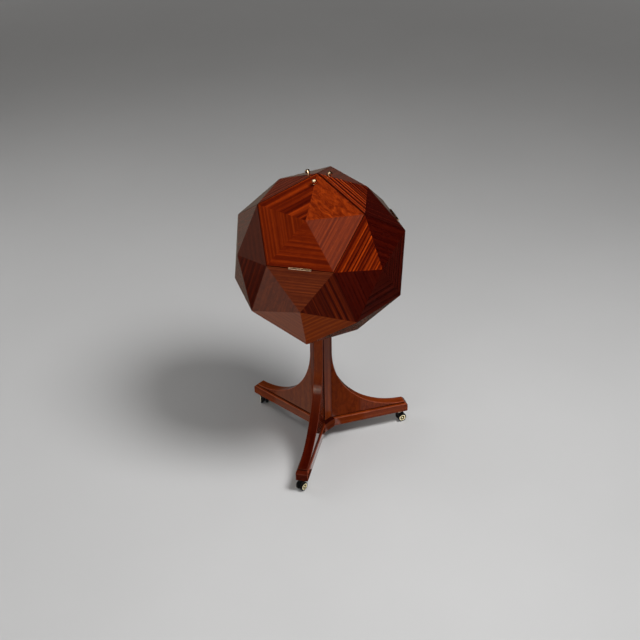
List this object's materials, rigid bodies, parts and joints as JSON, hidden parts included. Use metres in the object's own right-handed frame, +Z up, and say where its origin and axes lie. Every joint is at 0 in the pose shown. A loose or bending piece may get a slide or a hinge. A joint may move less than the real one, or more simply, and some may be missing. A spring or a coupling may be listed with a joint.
{
  "type": "polyhedron bar cabinet",
  "caption": "Bar cabinet: a faceted mahogany dodecahedron that stands on one corner, on a tripod with castors; its top panels are hinged flaps round a bottle shelf",
  "frame": {"origin": "on the floor, on the pedestal's axis under the body's bottom corner", "axes": "+Z up; -Y to the front, where one leg and one flap point; +X to the viewer's right from the front"},
  "size_m": [0.57, 0.5912, 1.0527],
  "materials": {
    "veneered_board": "gloss lacquer on striped mahogany veneer",
    "pedestal_wood": "gloss lacquer on solid mahogany",
    "inner_wood": "satin",
    "brass": "polished",
    "wheel_black": "satin hard rubber",
    "castor_black": "moulded",
    "steel": "plain"
  },
  "bodies": {
    "cabinet": {"bottle_shelf": "inner_wood", "bottom_panel_back": "veneered_board", "bottom_panel_left": "veneered_board", "bottom_panel_right": "veneered_board", "castor_plates": "brass", "castor_screws": "brass", "flap_stop_strips": "inner_wood", "foot_corner_blocks": "pedestal_wood", "foot_rail_front": "pedestal_wood", "foot_rail_left": "pedestal_wood", "foot_rail_right": "pedestal_wood", "hinge_body_leaves": "brass", "hinge_body_screws": "brass", "hinge_pins": "brass", "leg_fin_front": "pedestal_wood", "leg_fin_left": "pedestal_wood", "leg_fin_right": "pedestal_wood", "lower_panel_front": "veneered_board", "lower_panel_left": "veneered_board", "lower_panel_right": "veneered_board", "mounting_block": "inner_wood", "post_filler_strips": "pedestal_wood", "shelf_battens": "inner_wood", "tie_rod": "steel", "tie_rod_nuts": "steel", "tie_rod_washers": "steel", "upper_panel_back": "veneered_board", "upper_panel_left": "veneered_board", "upper_panel_right": "veneered_board"},
    "front_flap": {"flap_front": "veneered_board", "knob_front": "brass", "hinge_flap_leaf_front": "brass", "hinge_flap_screws_front": "brass"},
    "right_flap": {"flap_right": "veneered_board", "knob_right": "brass", "hinge_flap_leaf_right": "brass", "hinge_flap_screws_right": "brass"},
    "left_flap": {"flap_left": "veneered_board", "knob_left": "brass", "hinge_flap_leaf_left": "brass", "hinge_flap_screws_left": "brass"},
    "front_castor_swivel": {"front_castor_body": "castor_black", "front_castor_axle": "steel"},
    "front_castor_left_wheel": {"front_castor_left_wheel": "wheel_black", "front_castor_left_cap": "brass"},
    "front_castor_right_wheel": {"front_castor_right_wheel": "wheel_black", "front_castor_right_cap": "brass"},
    "right_castor_swivel": {"right_castor_body": "castor_black", "right_castor_axle": "steel"},
    "right_castor_left_wheel": {"right_castor_left_wheel": "wheel_black", "right_castor_left_cap": "brass"},
    "right_castor_right_wheel": {"right_castor_right_wheel": "wheel_black", "right_castor_right_cap": "brass"},
    "left_castor_swivel": {"left_castor_body": "castor_black", "left_castor_axle": "steel"},
    "left_castor_left_wheel": {"left_castor_left_wheel": "wheel_black", "left_castor_left_cap": "brass"},
    "left_castor_right_wheel": {"left_castor_right_wheel": "wheel_black", "left_castor_right_cap": "brass"}
  },
  "joints": [
    {"name": "front_flap_hinge", "type": "hinge", "parent": "cabinet", "child": "front_flap", "pos_m": [0, -0.26204, 0.85373], "axis": [1, 0, 0], "range_deg": [0, 212]},
    {"name": "right_flap_hinge", "type": "hinge", "parent": "cabinet", "child": "right_flap", "pos_m": [0.22693, 0.13102, 0.85373], "axis": [-0.5, 0.866, 0], "range_deg": [0, 212]},
    {"name": "left_flap_hinge", "type": "hinge", "parent": "cabinet", "child": "left_flap", "pos_m": [-0.22693, 0.13102, 0.85373], "axis": [-0.5, -0.866, 0], "range_deg": [0, 212]},
    {"name": "front_castor_swivel", "type": "hinge", "parent": "cabinet", "child": "front_castor_swivel", "pos_m": [0, -0.287, 0.042], "axis": [0, 0, 1], "continuous": true},
    {"name": "front_castor_left_wheel_spin", "type": "hinge", "parent": "front_castor_swivel", "child": "front_castor_left_wheel", "pos_m": [-0.00563, -0.29759, 0.016], "axis": [0.8829, -0.4695, 0], "continuous": true},
    {"name": "front_castor_right_wheel_spin", "type": "hinge", "parent": "front_castor_swivel", "child": "front_castor_right_wheel", "pos_m": [-0.00563, -0.29759, 0.016], "axis": [0.8829, -0.4695, 0], "continuous": true},
    {"name": "right_castor_swivel", "type": "hinge", "parent": "cabinet", "child": "right_castor_swivel", "pos_m": [0.24855, 0.1435, 0.042], "axis": [0, 0, 1], "continuous": true},
    {"name": "right_castor_left_wheel_spin", "type": "hinge", "parent": "right_castor_swivel", "child": "right_castor_left_wheel", "pos_m": [0.25826, 0.15055, 0.016], "axis": [-0.5878, 0.809, 0], "continuous": true},
    {"name": "right_castor_right_wheel_spin", "type": "hinge", "parent": "right_castor_swivel", "child": "right_castor_right_wheel", "pos_m": [0.25826, 0.15055, 0.016], "axis": [-0.5878, 0.809, 0], "continuous": true},
    {"name": "left_castor_swivel", "type": "hinge", "parent": "cabinet", "child": "left_castor_swivel", "pos_m": [-0.24855, 0.1435, 0.042], "axis": [0, 0, 1], "continuous": true},
    {"name": "left_castor_left_wheel_spin", "type": "hinge", "parent": "left_castor_swivel", "child": "left_castor_left_wheel", "pos_m": [-0.25265, 0.15478, 0.016], "axis": [-0.9397, -0.342, 0], "continuous": true},
    {"name": "left_castor_right_wheel_spin", "type": "hinge", "parent": "left_castor_swivel", "child": "left_castor_right_wheel", "pos_m": [-0.25265, 0.15478, 0.016], "axis": [-0.9397, -0.342, 0], "continuous": true}
  ]
}
